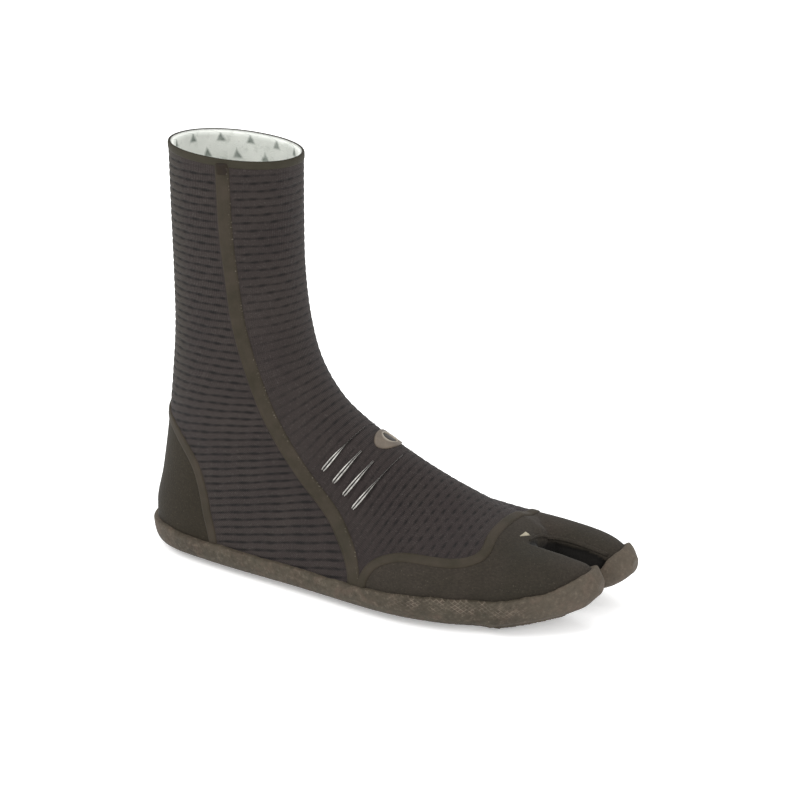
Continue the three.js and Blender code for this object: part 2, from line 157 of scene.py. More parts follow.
def outline(stations, t, turns, offset=0.0, underside=None):
    """Grid of points len(t) x len(turns) on the loft grown by offset. Turn 0 is the front, and a quarter
    turn is the outer side."""
    q = catmull(stations, t)
    tip = np.clip((t - (len(stations) - 3)) / 2, 0, 1)
    front, back = q[:, 0:2], q[:, 2:4]
    across = front - back
    length = np.maximum(np.linalg.norm(across, axis=1), 1e-6)
    reach = np.maximum(length / 2 + offset, 0.6)
    middle = (front + back) / 2 + np.stack([offset * tip, 0 * tip], 1)
    across = across / length[:, None] * reach[:, None]
    front, back = middle + across, middle - across
    outer = np.maximum(q[:, 4] + offset, 0.6)[:, None]
    inner = np.maximum(q[:, 5] + offset, 0.6)[:, None]
    wide = q[:, 8:9]
    c, d = np.cos(turns)[None, :], np.sin(turns)[None, :]
    power = 2 / np.where(c >= 0, q[:, 9:10], q[:, 10:11])
    span = np.abs(c) ** power
    share = np.where(c >= 0, wide + (1 - wide) * span, wide - wide * span)
    half = np.where(d >= 0, outer, inner)
    x = back[:, 0:1] + (front[:, 0:1] - back[:, 0:1]) * share
    z = back[:, 1:2] + (front[:, 1:2] - back[:, 1:2]) * share
    y = q[:, 7:8] + (q[:, 6:7] - q[:, 7:8]) * share - np.sign(d) * half * np.abs(d) ** power
    if underside is not None:
        drop = SOLE - offset - underside
        stretch = drop + PRESS if drop > 0 else 0.0
        z = z - stretch * (1 - smoothstep(z, SOLE, SOLE + 14))
        z = np.maximum(z, underside + spring(x))
    return np.stack([x, y, z], -1)


# ---- seam lines, in the side view, as the CAD draws them ----
def curve(points, n=200):
    points = np.array(points, float)
    return catmull(points, np.linspace(0, len(points) - 1, n))


SIDE_SEAM = curve([[11, 255], [11, 204], [12.5, 170], [18, 134], [32, 97], [54, 65], [78, 41], [91, 27],
                   [95.5, 15], [96, -10]])
HEEL_SEAM = curve([[-60, 90], [-38, 80.5], [-24, 73], [-9, 59], [-3, 45], [0, 31], [3.5, 18], [6, -10]])
TOE_SEAM = curve([[99, -10], [100, 17], [104, 26.5], [111, 31], [121, 34], [134, 35.2], [149, 36],
                  [158, 38], [161, 41], [159, 46], [158, 60], [158, 90]])
RAND_LINE = curve([[-60, 16], [-32, 15.8], [0, 15], [60, 15], [100, 15], [125, 17.2], [165, 18.6],
                   [184, 21], [198, 24.5], [209, 31.5], [216, 35], [230, 41]])
BIG_TOE_RAND = np.array([[165, 18], [195, 18], [204, 20], [208, 25], [210, 29.5], [213, 32.5], [217, 36]])


def across_line(line, x, z):
    """How far (x, z) lies in front of a seam line, along x."""
    order = np.argsort(line[:, 1])
    return x - np.interp(z, line[order, 1], line[order, 0])


def rand_height(x):
    return np.interp(x, RAND_LINE[:, 0], RAND_LINE[:, 1])


def rand_edge(x, y):
    """The rubber's upper edge, which stays low beside the big toe and covers only its tip."""
    on_toe = smoothstep(y, 7, 12) * smoothstep(x, 160, 175)
    return rand_height(x) * (1 - on_toe) + np.interp(x, BIG_TOE_RAND[:, 0], BIG_TOE_RAND[:, 1]) * on_toe


# ---- mesh helpers ----
def make(name, verts, faces, material=None, uv=None):
    """A smooth mesh object from points in millimetres. uv holds a pair for each point, in metres."""
    mesh = bpy.data.meshes.new(name)
    mesh.from_pydata((np.asarray(verts) * MM).tolist(), [], [list(map(int, f)) for f in faces])
    mesh.polygons.foreach_set("use_smooth", np.ones(len(mesh.polygons), bool))
    if uv is not None:
        layer = mesh.uv_layers.new(name="surface")
        index = np.zeros(len(mesh.loops), np.int32)
        mesh.loops.foreach_get("vertex_index", index)
        layer.data.foreach_set("uv", np.asarray(uv, np.float32)[index].ravel())
    mesh.validate()
    obj = bpy.data.objects.new(name, mesh)
    bpy.context.scene.collection.objects.link(obj)
    if material is not None:
        mesh.materials.append(material)
    return obj


def mark(obj, name, values):
    """Stores a number at each point, for the material to read."""
    attribute = obj.data.attributes.new(name, "FLOAT", "POINT")
    attribute.data.foreach_set("value", values.astype(np.float32))


def ring_faces(n, m, closed=False, flipped=False):
    """Quads between n rings of m points. closed joins the last ring to the first."""
    faces = []
    for i in range(n if closed else n - 1):
        above = (i + 1) % n
        for k in range(m):
            after = (k + 1) % m
            faces.append([i * m + k, i * m + after, above * m + after, above * m + k])
    return [[a, d, c, b] for a, b, c, d in faces] if flipped else faces


def arrays(obj):
    """An object's mesh after its modifiers, as points in millimetres and triangles."""
    graph = bpy.context.evaluated_depsgraph_get()
    mesh = obj.evaluated_get(graph).to_mesh()
    verts = np.zeros(len(mesh.vertices) * 3)
    mesh.vertices.foreach_get("co", verts)
    mesh.calc_loop_triangles()
    tris = np.zeros(len(mesh.loop_triangles) * 3, np.int32)
    mesh.loop_triangles.foreach_get("vertices", tris)
    return verts.reshape(-1, 3) / MM, tris.reshape(-1, 3)


def loft(stations, offset, underside):
    t = np.linspace(0, len(stations) - 1, (len(stations) - 1) * 10 + 1)
    columns = 120
    grid = outline(stations, t, np.linspace(0, 2 * math.pi, columns, endpoint=False), offset, underside)
    verts = np.vstack([grid.reshape(-1, 3), grid[0].mean(0)[None], grid[-1].mean(0)[None]])
    faces = ring_faces(len(t), columns)
    a, b, base = len(verts) - 2, len(verts) - 1, (len(t) - 1) * columns
    faces += [[a, (k + 1) % columns, k] for k in range(columns)]
    faces += [[b, base + k, base + (k + 1) % columns] for k in range(columns)]
    return verts, faces


def last_surface(offset, underside, voxel, smoothing):
    """The foot, the big toe and the web between joined into one smooth skin."""
    verts, faces = loft(FOOT, offset, underside)
    for stations in (BIG_TOE, WEB):
        more, others = loft(stations, offset, underside)
        faces = faces + [[i + len(verts) for i in f] for f in others]
        verts = np.vstack([verts, more])
    obj = make("temporary", verts, faces)
    remesh = obj.modifiers.new("remesh", "REMESH")
    remesh.mode = "VOXEL"
    remesh.voxel_size = voxel * MM
    smooth = obj.modifiers.new("smooth", "SMOOTH")
    smooth.factor = 0.5
    smooth.iterations = smoothing
    found = arrays(obj)
    bpy.data.objects.remove(obj)
    return found


def point_normals(verts, tris):
    p = verts[tris]
    face = np.cross(p[:, 1] - p[:, 0], p[:, 2] - p[:, 0])
    normals = np.zeros_like(verts)
    for k in range(3):
        np.add.at(normals, tris[:, k], face)
    return normals / np.maximum(np.linalg.norm(normals, axis=1, keepdims=True), 1e-9)


def boundary(faces):
    """Directed edges that only one face uses."""
    edges = {}
    for f in faces:
        for a, b in zip(f, list(f[1:]) + [f[0]]):
            edges[(a, b)] = True
    return [(a, b) for a, b in edges if (b, a) not in edges]


def compact(verts, faces, *others):
    """Drops points that no face uses."""
    faces = np.asarray(faces)
    used = np.unique(faces)
    place = np.full(len(verts), -1)
    place[used] = np.arange(len(used))
    return (verts[used], place[faces], *[o[used] for o in others])


def skirted(verts, faces, normals, depth, uv=None):
    """Turns a sheet's edges inwards, so that it has its thickness where an edge shows."""
    edges = boundary(faces.tolist())
    ring = sorted({a for e in edges for a in e})
    place = {v: len(verts) + k for k, v in enumerate(ring)}
    verts = np.vstack([verts, verts[ring] - normals[ring] * depth])
    extra = [[b, a, place[a], place[b]] for a, b in edges]
    faces = faces.tolist() + extra
    if uv is None:
        return verts, faces
    return verts, faces, np.vstack([uv, uv[ring]])


def clipped(verts, tris, field):
    """Keeps the part of a triangle mesh where field < 0, cut cleanly along field = 0. Returns points,
    triangles and which points lie on the cut."""
    verts, inside = list(map(tuple, verts)), field < 0
    count = inside[tris].sum(1)
    kept = tris[count == 3].tolist()
    made = {}

    def cut(a, b):
        key = (min(a, b), max(a, b))
        if key not in made:
            f = field[a] / (field[a] - field[b])
            made[key] = len(verts)
            verts.append(tuple(np.array(verts[a]) * (1 - f) + np.array(verts[b]) * f))
        return made[key]

    for tri in tris[(count == 1) | (count == 2)].tolist():
        polygon = []
        for a, b in zip(tri, tri[1:] + tri[:1]):
            if inside[a]:
                polygon.append(a)
            if inside[a] != inside[b]:
                polygon.append(cut(a, b))
        kept += [[polygon[0], polygon[k], polygon[k + 1]] for k in range(1, len(polygon) - 1)]
    on_cut = np.zeros(len(verts), bool)
    on_cut[list(made.values())] = True
    return compact(np.array(verts), kept, on_cut)


# ---- the skin that everything lies on ----
skin_verts, skin_tris = last_surface(0.0, SOLE, 1.2, 4)
skin_tree = BVHTree.FromPolygons(skin_verts.tolist(), skin_tris.tolist())
skin_normals = point_normals(skin_verts, skin_tris)


def on_skin(points):
    """Nearest skin points and their smooth normals."""
    places, normals = [], []
    for p in points:
        place, _, face, _ = skin_tree.find_nearest(Vector(p))
        corners = skin_tris[face]
        away = np.linalg.norm(skin_verts[corners] - np.array(place), axis=1)
        weights = 1 / (away + 0.05)
        normal = (skin_normals[corners] * weights[:, None]).sum(0)
        places.append(place[:])
        normals.append(normal / np.linalg.norm(normal))
    return np.array(places), np.array(normals)


# ---- the sleeve's grid: rows follow the front profile, columns go round ----
ROW_STEP = 0.55
COLUMNS = 360
fine_t = np.linspace(1, 15, 3000)
fine_front = catmull(FOOT, fine_t)[:, 0:2]
front_length = run_length(fine_front)
row_t = np.interp(np.arange(0, front_length[-1], ROW_STEP), front_length, fine_t)
turns = np.linspace(0, 2 * math.pi, COLUMNS, endpoint=False)
grid = outline(FOOT, row_t, turns)
axis = (grid.max(1) + grid.min(1)) / 2

# where the big toe's loft stands out of the foot's, the sleeve follows it
toe_verts, toe_faces = loft(BIG_TOE, 0.0, SOLE)
toe_tree = BVHTree.FromPolygons(toe_verts.tolist(), toe_faces)
MELD = 5.0
for r in np.nonzero(row_t > 8)[0]:
    for c in range(COLUMNS):
        ray = grid[r, c] - axis[r]
        reach = np.linalg.norm(ray)
        ray = ray / reach
        hit = toe_tree.ray_cast(Vector(axis[r] + ray * 150), Vector(-ray))
        if hit[0] is None:
            continue
        other = 150 - hit[3]
        blend = max(MELD - abs(reach - other), 0) / MELD
        grid[r, c] = axis[r] + ray * (max(reach, other) + blend * blend * MELD / 4)

along_r = np.gradient(grid, axis=0)
along_c = (np.roll(grid, -1, 1) - np.roll(grid, 1, 1)) / 2
grid_normals = np.cross(along_c, along_r)
grid_normals /= np.linalg.norm(grid_normals, axis=2, keepdims=True)
if (grid_normals[0, 0] * [1, 0, 0]).sum() < 0:
    grid_normals = -grid_normals

step_c = np.linalg.norm(np.roll(grid, -1, 1) - grid, axis=2)
around = np.concatenate([np.zeros((len(grid), 1)), np.cumsum(step_c, 1)[:, :-1]], 1)
whole = step_c.sum(1, keepdims=True)
around = np.where(around > whole / 2, around - whole, around)      # arc length round from the front
gx, gy, gz = grid[..., 0], grid[..., 1], grid[..., 2]
in_front_of_side = across_line(SIDE_SEAM, gx, gz)
in_front_of_heel = across_line(HEEL_SEAM, gx, gz)
in_front_of_toe = across_line(TOE_SEAM, gx, gz)

# distance along the front profile of the nearest profile point: the front panel's ribs stay square to it
flat = np.stack([gx, gz], -1).reshape(-1, 2)
coarse, coarse_length = fine_front[::8], front_length[::8]
index = np.concatenate([((part[:, None] - coarse[None]) ** 2).sum(2).argmin(1)
                        for part in np.array_split(flat, 60)])          # in parts, to save memory
tangent = np.gradient(coarse, axis=0)
tangent /= np.linalg.norm(tangent, axis=1, keepdims=True)
nearest = coarse_length[index] + ((flat - coarse[index]) * tangent[index]).sum(1)
profile_length = nearest.reshape(gx.shape)


def ribs(phase, u, wave, dash):
    """Height of moulded ribs: flat crests and narrow valleys that waver, and pinch like a row of bricks."""
    phase = phase + wave * np.sin(2 * math.pi * u / 17 + 1.9 * np.floor(phase))
    row = np.round(phase)
    away = np.abs(phase - row)
    valley = np.exp(-(away / 0.15) ** 2)
    crest = 0.12 * np.cos(2 * math.pi * phase)
    pinch = 1 - dash * (0.5 + 0.5 * np.sin(2 * math.pi * u / 7.3 + math.pi * row))
    return -valley * pinch - crest


COLLAR = 5.0
near_top = 1 - smoothstep(gz - rim(gx), -COLLAR - 3, -COLLAR)
near_side = smoothstep(np.abs(in_front_of_side) * 0.8, 2.0, 5.0)
near_heel = smoothstep(np.abs(in_front_of_heel) * 0.8, 1.5, 4.0)
near_toe = smoothstep(np.abs(in_front_of_toe) * 0.7, 1.5, 4.0)
# the front panel's ribs are strong down its middle, weak beside the ankle, and broken on the forefoot
beside = (1 - smoothstep(in_front_of_side, 5, 34)) * (1 - smoothstep(gz, 125, 175))
grip = np.exp(-(((gx - 88) * 0.84 - (gz - 77) * 0.54) / 19) ** 2) * smoothstep(gz, 45, 70)
broken = 0.5 + 0.4 * smoothstep(gx, 100, 130)
front_depth = FRONT_RIB * (1 - 0.6 * beside) * (1 - 0.4 * grip)
front_ribs = ribs(profile_length / RIB_PITCH, around, 0.04, broken) * front_depth
front_ribs = front_ribs * near_side * near_toe * near_top
# the rear ribs climb a little to the front, low down
tilted = gz - 0.2 * gx * (1 - smoothstep(gz, 60, 120))
rear_ribs = REAR_RIB * ribs(tilted / RIB_PITCH, around, 0.04, 0.5) * near_side * near_heel * near_top
front_side = in_front_of_side > 0
relief = np.where(front_side, front_ribs, np.where(in_front_of_heel < 0, 0, rear_ribs))
skin_grid = grid + grid_normals * relief[..., None]
uv_grid = np.stack([around * MM, np.where(front_side, profile_length, 240 - gz) * MM], -1)


def grid_faces(mask):
    """Quads of the sleeve's grid whose four corners all pass the mask."""
    faces = np.array(ring_faces(*mask.shape))
    return faces[mask.ravel()[faces].all(1)]


def panel(name, mask, material):
    mask = mask & (gz < rim(gx) - UNDER_CUFF) & (gz > rand_height(gx) - UNDER_RAND)
    verts, faces, normals, uv, height = compact(
        skin_grid.reshape(-1, 3), grid_faces(mask), grid_normals.reshape(-1, 3), uv_grid.reshape(-1, 2),
        relief.reshape(-1))
    count = len(verts)
    verts, faces, uv = skirted(verts, faces, normals, SKIRT, uv)
    obj = make(name, verts, faces, material, uv)
    # the turned-in edges get -0.5, so the material paints them in full shade like the deepest valleys
    mark(obj, "relief", np.concatenate([height, np.full(len(verts) - count, -0.5)]))
    return obj


# ---- strips: tapes, ridges ----
def evened(line, step, rounds=6):
    """A line smoothed, and cut again into equal steps."""
    line = np.asarray(line, float)
    for _ in range(2):
        length = run_length(line)
        at = np.linspace(0, length[-1], max(int(length[-1] / step), 4))
        line = np.stack([np.interp(at, length, line[:, k]) for k in range(3)], 1)
        for _ in range(rounds):
            line[1:-1] = (line[:-2] + 2 * line[1:-1] + line[2:]) / 4
    return line


def strip(name, line, width, height, material, sink=1.0, profile=None, taper=None, step=1.0, columns=13):
    """A raised strip along a line on the skin. profile gives the height across it, and taper its width and
    height along it."""
    line = evened(line, step)
    places, normals = on_skin(line)
    for _ in range(4):
        normals[1:-1] = (normals[:-2] + 2 * normals[1:-1] + normals[2:]) / 4
    tangents = np.gradient(places, axis=0)
    sides = np.cross(normals, tangents)
    sides /= np.linalg.norm(sides, axis=1, keepdims=True)
    across = np.linspace(-1, 1, columns)
    tall = profile(across) if profile else 1 - np.abs(across) ** 6
    share = np.linspace(0, 1, len(places))
    slim = taper(share) if taper else np.ones(len(places))
    half = width / 2 * slim
    spread = places[:, None] + sides[:, None] * (across[None, :] * half[:, None])[..., None]
    low, away = on_skin(spread.reshape(-1, 3))
    low, away = low.reshape(spread.shape), away.reshape(spread.shape)
    edge = np.sqrt(slim)
    edge[[0, -1]] *= 0.35
    top = low + away * (0.12 + height * tall[None, :] * edge[:, None])[..., None]
    left = low[:, :1] - away[:, :1] * sink
    right = low[:, -1:] - away[:, -1:] * sink
    ring = np.concatenate([left, top, right], 1)
    n, m = ring.shape[:2]
    faces = ring_faces(n, m, flipped=True)
    faces += [list(range(m)), list(range((n - 1) * m, n * m))[::-1]]
    u = np.concatenate([[-1.1], across, [1.1]]) * width / 2
    return make(name, ring.reshape(-1, 3), faces, material, pairs(u, run_length(places)) * MM)


def crossings(values, points):
    """Where each row of values first changes sign, as points."""
    found = []
    for v, p in zip(values, points):
        change = np.nonzero(np.sign(v[:-1]) != np.sign(v[1:]))[0]
        if len(change):
            k = change[0]
            f = v[k] / (v[k] - v[k + 1])
            found.append(p[k] * (1 - f) + p[k + 1] * f)
    return np.array(found)


def above_rand(line):
    return line[line[:, 2] > rand_height(line[:, 0]) - TAPE_TUCK]


HALF = COLUMNS // 2
medial = np.concatenate([[0], np.arange(COLUMNS - 1, HALF - 1, -1)])
side_lines = {
    "lateral": crossings(in_front_of_side[:, : HALF + 1], grid[:, : HALF + 1]),
    "medial": crossings(in_front_of_side[:, medial], grid[:, medial]),
}
heel_rows = in_front_of_heel[:, HALF] < 0
heel_lateral = crossings(in_front_of_heel[heel_rows][:, HALF::-1], grid[heel_rows][:, HALF::-1])
heel_medial = crossings(in_front_of_heel[heel_rows][:, HALF:], grid[heel_rows][:, HALF:])
heel_line = np.vstack([above_rand(heel_lateral)[::-1], above_rand(heel_medial)])
order = np.concatenate([np.arange(HALF, -1, -1), np.arange(COLUMNS - 1, HALF, -1)])
toe_line = above_rand(crossings(in_front_of_toe[:, order].T, grid[:, order].transpose(1, 0, 2)))

# ---- the outsole ----
def outsole(name, material):
    verts, tris = last_surface(RAND + GAP, 0.0, 1.0, 3)
    lift = spring(verts[:, 0])
    verts[:, 2] = np.where(verts[:, 2] < 0.3 + lift, lift, verts[:, 2])
    # the bottom edge is rounded
    turned = np.linalg.norm(point_normals(verts, tris)[:, :2], axis=1)
    level = verts[:, 2] - lift
    verts[:, 2] += 1.3 * smoothstep(turned, 0.15, 0.8) * (1 - smoothstep(level, 0, 5))
    x, y = verts[:, 0], verts[:, 1]
    waver = 0.3 * np.sin(x / 7.0) + 0.2 * np.sin(x / 2.9 + y / 5) + 0.12 * np.sin(x / 1.1 + y / 2)
    edge = rand_edge(x, y) + waver
    verts, tris, on_cut = clipped(verts, tris, verts[:, 2] - edge)
    normals = point_normals(verts, tris)
    # tread: a shallow lattice of grooves in the underside
    under = smoothstep(-normals[:, 2], 0.8, 0.97)
    a = (verts[:, 0] + verts[:, 1]) / math.sqrt(2)
    b = (verts[:, 0] - verts[:, 1]) / math.sqrt(2)
    groove = np.maximum(*(np.exp(-(np.sin(k * math.pi / TREAD_PITCH) / 0.22) ** 2) for k in (a, b)))
    verts = verts - normals * (TREAD_DEPTH * groove * under)[:, None]
    # a rounded lip closes the rubber's edge onto the neoprene
    ring = np.nonzero(on_cut)[0]
    slope = (rand_height(verts[ring, 0] + 1) - rand_height(verts[ring, 0] - 1)) / 2
    rise = np.stack([-slope, 0 * slope, np.ones(len(ring))], 1)
    rise -= normals[ring] * (rise * normals[ring]).sum(1, keepdims=True)
    rise /= np.maximum(np.linalg.norm(rise, axis=1, keepdims=True), 1e-6)
    low, _ = on_skin(verts[ring])
    inward = low - verts[ring]
    place = {v: k for k, v in enumerate(ring)}
    edges = [(a, b) for a, b in boundary(tris.tolist()) if a in place and b in place]
    base = len(verts)
    layers = [verts]
    faces = tris.tolist()
    previous = {v: v for v in place}
    for up, into in ((0.35, 0.08), (0.65, 0.3), (0.8, 0.62), (0.8, 1.0), (0.5, 1.5)):
        layers.append(verts[ring] + rise * up + inward * into)
        current = {v: base + k for v, k in place.items()}
        faces += [[previous[b], previous[a], current[a], current[b]] for a, b in edges]
        previous = current
        base += len(ring)
    return make(name, np.vstack(layers), faces, material)


# ---- materials ----
class Shader:
    """A node material, with short calls for the nodes it is made of."""

    def __init__(self, name, roughness=0.8, **inputs):
        self.material = bpy.data.materials.new(name)
        self.material.use_nodes = True
        self.nodes = self.material.node_tree.nodes
        self.links = self.material.node_tree.links
        self.bsdf = self.nodes["Principled BSDF"]
        self.bsdf.inputs["Roughness"].default_value = roughness
        for key, value in inputs.items():
            self.bsdf.inputs[key.replace("_", " ")].default_value = value

    def set(self, socket, value):
        if isinstance(value, bpy.types.NodeSocket):
            self.links.new(value, socket)
        else:
            socket.default_value = value

    def add(self, kind, out=0, values=(), **settings):
        node = self.nodes.new("ShaderNode" + kind)
        for key, value in settings.items():
            setattr(node, key, value)
        for key, value in dict(values).items():
            self.set(node.inputs[key], value)
        return node.outputs[out]

    def place(self):
        return self.add("TexCoord", "Object")

    def surface(self):
        return self.add("UVMap", 0, uv_map="surface")

    def scaled(self, vector, scale):
        return self.add("Mapping", 0, {"Vector": vector, "Scale": scale})

    def noise(self, vector, scale, detail=3.0, roughness=0.5):
        values = {"Vector": vector, "Scale": scale, "Detail": detail, "Roughness": roughness}
        return self.add("TexNoise", 0, values)

    def math(self, operation, a, b=0.0, c=0.0):
        return self.add("Math", 0, {0: a, 1: b, 2: c}, operation=operation)

    def span(self, value, low, high, to_low=0.0, to_high=1.0):
        return self.add("MapRange", 0, {"Value": value, "From Min": low, "From Max": high, "To Min": to_low,
                                        "To Max": to_high})

    def mix(self, factor, a, b):
        return self.add("Mix", 2, {0: factor, 6: a, 7: b}, data_type="RGBA")

    def split(self, vector):
        node = self.nodes.new("ShaderNodeSeparateXYZ")
        self.links.new(vector, node.inputs[0])
        return node.outputs

    def wave(self, value, pitch):
        """1 at each multiple of pitch, -1 between."""
        return self.math("COSINE", self.math("MULTIPLY", value, 2 * math.pi / pitch))

    def bump(self, height, distance, normal=None):
        values = {"Height": height, "Distance": distance, "Strength": 1.0}
        if normal is not None:
            values["Normal"] = normal
        return self.add("Bump", 0, values)

    def finish(self, color, normal=None, roughness=None):
        self.set(self.bsdf.inputs["Base Color"], color)
        if normal is not None:
            self.set(self.bsdf.inputs["Normal"], normal)
        if roughness is not None:
            self.set(self.bsdf.inputs["Roughness"], roughness)
        return self.material


LIGHT = 1.3          # how strongly the studio lights a pale surface, in linear light
GLOSS = 0.015        # what a matt surface's own reflection adds


def rgb(r, g, b):
    """The albedo of a matt surface that shows in this light as a display colour from 0 to 255."""
    linear = [((c / 255 + 0.055) / 1.055) ** 2.4 if c > 10 else c / 255 / 12.92 for c in (r, g, b)]
    return tuple(max(c / LIGHT - GLOSS, 0.0015) for c in linear) + (1.0,)


def knit_height(s, vector, wale, course):
    """The loops of a fine jersey face: rows of slanted stitches."""
    x, y, _ = s.split(vector)
    columns = s.wave(x, wale)
    shifted = s.math("ADD", y, s.math("MULTIPLY", s.math("ABSOLUTE", s.math("SINE", s.math(
        "MULTIPLY", x, math.pi / wale))), course * 0.5))
    return s.math("MULTIPLY", s.math("ADD", columns, 1.2), s.math("ADD", s.wave(shifted, course), 1.4))


def ribbed_neoprene():
    s = Shader("ribbed_neoprene", 0.82, Specular_IOR_Level=0.2, Sheen_Weight=0.03, Sheen_Roughness=0.4)
    knit = knit_height(s, s.surface(), 0.0011, 0.0009)
    cloud = s.noise(s.place(), 38, 4, 0.6)
    speck = s.noise(s.place(), 900, 2, 0.6)
    relief = s.add("Attribute", 2, attribute_name="relief")
    x, y, z = s.split(s.place())
    base = s.mix(s.span(cloud, 0.3, 0.7), rgb(61, 56, 55), rgb(70, 65, 63))
    # painted light: the back of the shaft is made paler where the side light falls on it
    back_painted_light = s.math("MULTIPLY", s.span(x, -0.012, -0.036), s.span(z, 0.08, 0.12))
    base = s.mix(back_painted_light, base, rgb(76, 73, 66))
    base = s.mix(s.span(x, 0.05, 0.1, 0, 0.3), base, rgb(50, 45, 46))
    base = s.mix(s.span(speck, 0.55, 0.75, 0, 0.4), base, rgb(90, 85, 82))
    # painted shade: the rib valleys, and the turned-in edges marked -0.5, are darkened towards near black
    base = s.mix(s.span(relief, -0.28, -0.02, 0.8, 0.0), base, rgb(36, 33, 31))
    normal = s.bump(s.math("ADD", knit, s.math("MULTIPLY", speck, 2.0)), 0.00005)
    return s.finish(base, normal, s.span(cloud, 0.3, 0.7, 0.75, 0.9))


def plain_knit(name, dark, light, walls=False):
    """A fine jersey. walls paints shade inside the toe split, darkening its sides almost to black."""
    s = Shader(name, 0.85, Specular_IOR_Level=0.2, Sheen_Weight=0.03, Sheen_Roughness=0.4)
    cloud = s.noise(s.place(), 30, 4, 0.6)
    loops = s.add("TexVoronoi", 0, {"Vector": s.place(), "Scale": 950.0, "Randomness": 0.65})
    grain = s.noise(s.scaled(s.place(), (1, 1, 2.2)), 620, 3, 0.65)
    speck = s.noise(s.place(), 1500, 1, 0.5)
    base = s.mix(s.span(cloud, 0.3, 0.7), dark, light)
    base = s.mix(s.span(grain, 0.4, 0.62, 0.3, 0.0), base, rgb(42, 39, 34))
    base = s.mix(s.span(speck, 0.68, 0.76, 0, 0.4), base, rgb(104, 99, 88))
    if walls:
        inside = s.add("Attribute", 2, attribute_name="split")
        # painted shade: the toe split's sides are darkened almost to black
        base = s.mix(s.math("MULTIPLY", inside, 0.9), base, (0.0045, 0.004, 0.0035, 1))
    height = s.math("ADD", s.math("MULTIPLY", loops, -1.2), grain)
    return s.finish(base, s.bump(height, 0.00009), s.span(cloud, 0.3, 0.7, 0.78, 0.92))


def seam_tape(name, dark, light, band=None):
    """A smooth glued tape. band is the darker colour of the cuff's rolled top."""
    s = Shader(name, 0.7, Specular_IOR_Level=0.22)
    cloud = s.noise(s.place(), 70, 5, 0.65)
    grain = s.noise(s.place(), 1400, 2, 0.5)
    base = s.mix(s.span(cloud, 0.35, 0.65), dark, light)
    u, v, _ = s.split(s.surface())
    if band:
        base = s.mix(s.span(v, 0.0052, 0.0032), base, band)
    else:
        fleck = s.span(s.noise(s.place(), 1100, 2, 0.5), 0.64, 0.7)
        fleck = s.math("MULTIPLY", fleck, s.span(u, 0.0018, 0.0034))
        base = s.mix(s.math("MULTIPLY", fleck, 0.45), base, rgb(150, 144, 130))
    mesh = s.math("MULTIPLY", s.wave(u, 0.0008), s.wave(v, 0.0008))
    normal = s.bump(s.math("ADD", s.math("MULTIPLY", mesh, 0.4), grain), 0.00005)
    normal = s.bump(s.noise(s.place(), 260, 2), 0.00015, normal)
    return s.finish(base, normal, s.span(cloud, 0.3, 0.7, 0.6, 0.8))


def sole_rubber():
    s = Shader("sole_rubber", 0.75, Specular_IOR_Level=0.28)
    cloud = s.noise(s.place(), 34, 6, 0.65)
    blot = s.noise(s.place(), 120, 4, 0.7)
    grit = s.noise(s.place(), 1100, 3, 0.6)
    x, y, z = s.split(s.place())
    fine = s.noise(s.place(), 420, 4, 0.7)
    base = s.mix(s.span(cloud, 0.35, 0.65), rgb(70, 64, 56), rgb(84, 78, 68))
    base = s.mix(s.span(blot, 0.5, 0.68, 0, 0.6), base, rgb(102, 89, 80))
    base = s.mix(s.span(blot, 0.44, 0.3, 0, 0.6), base, rgb(63, 60, 51))
    base = s.mix(s.span(fine, 0.53, 0.72, 0, 0.6), base, rgb(116, 106, 94))
    base = s.mix(s.span(fine, 0.45, 0.3, 0, 0.55), base, rgb(54, 50, 43))
    base = s.mix(s.span(x, -0.02, -0.05, 0, 0.35), base, rgb(108, 98, 88))
    base = s.mix(s.span(x, 0.17, 0.22, 0, 0.35), base, rgb(112, 102, 92))
    # light scuffs in a cross-hatch just under the rubber's edge, beside the small toes
    around = s.math("ADD", x, s.math("MULTIPLY", y, 0.7))
    rise = s.math("MULTIPLY", z, 1.6)
    hatch = s.math("MAXIMUM", s.wave(s.math("ADD", around, rise), 0.0036),
                   s.wave(s.math("SUBTRACT", around, rise), 0.0036))
    place = s.math("MULTIPLY", s.span(x, 0.115, 0.13), s.span(x, 0.19, 0.172))
    patchy = s.math("MULTIPLY", s.span(z, 0.0105, 0.0135), s.span(blot, 0.42, 0.58))
    place = s.math("MULTIPLY", place, patchy)
    base = s.mix(s.math("MULTIPLY", s.span(hatch, 0.75, 1.0), s.math("MULTIPLY", place, 0.6)), base,
                 rgb(136, 126, 114))
    normal = s.bump(s.math("MULTIPLY", hatch, place), 0.0002)
    normal = s.bump(grit, 0.00025, normal)
    normal = s.bump(blot, 0.0006, normal)
    return s.finish(base, normal, s.span(blot, 0.3, 0.7, 0.65, 0.85))


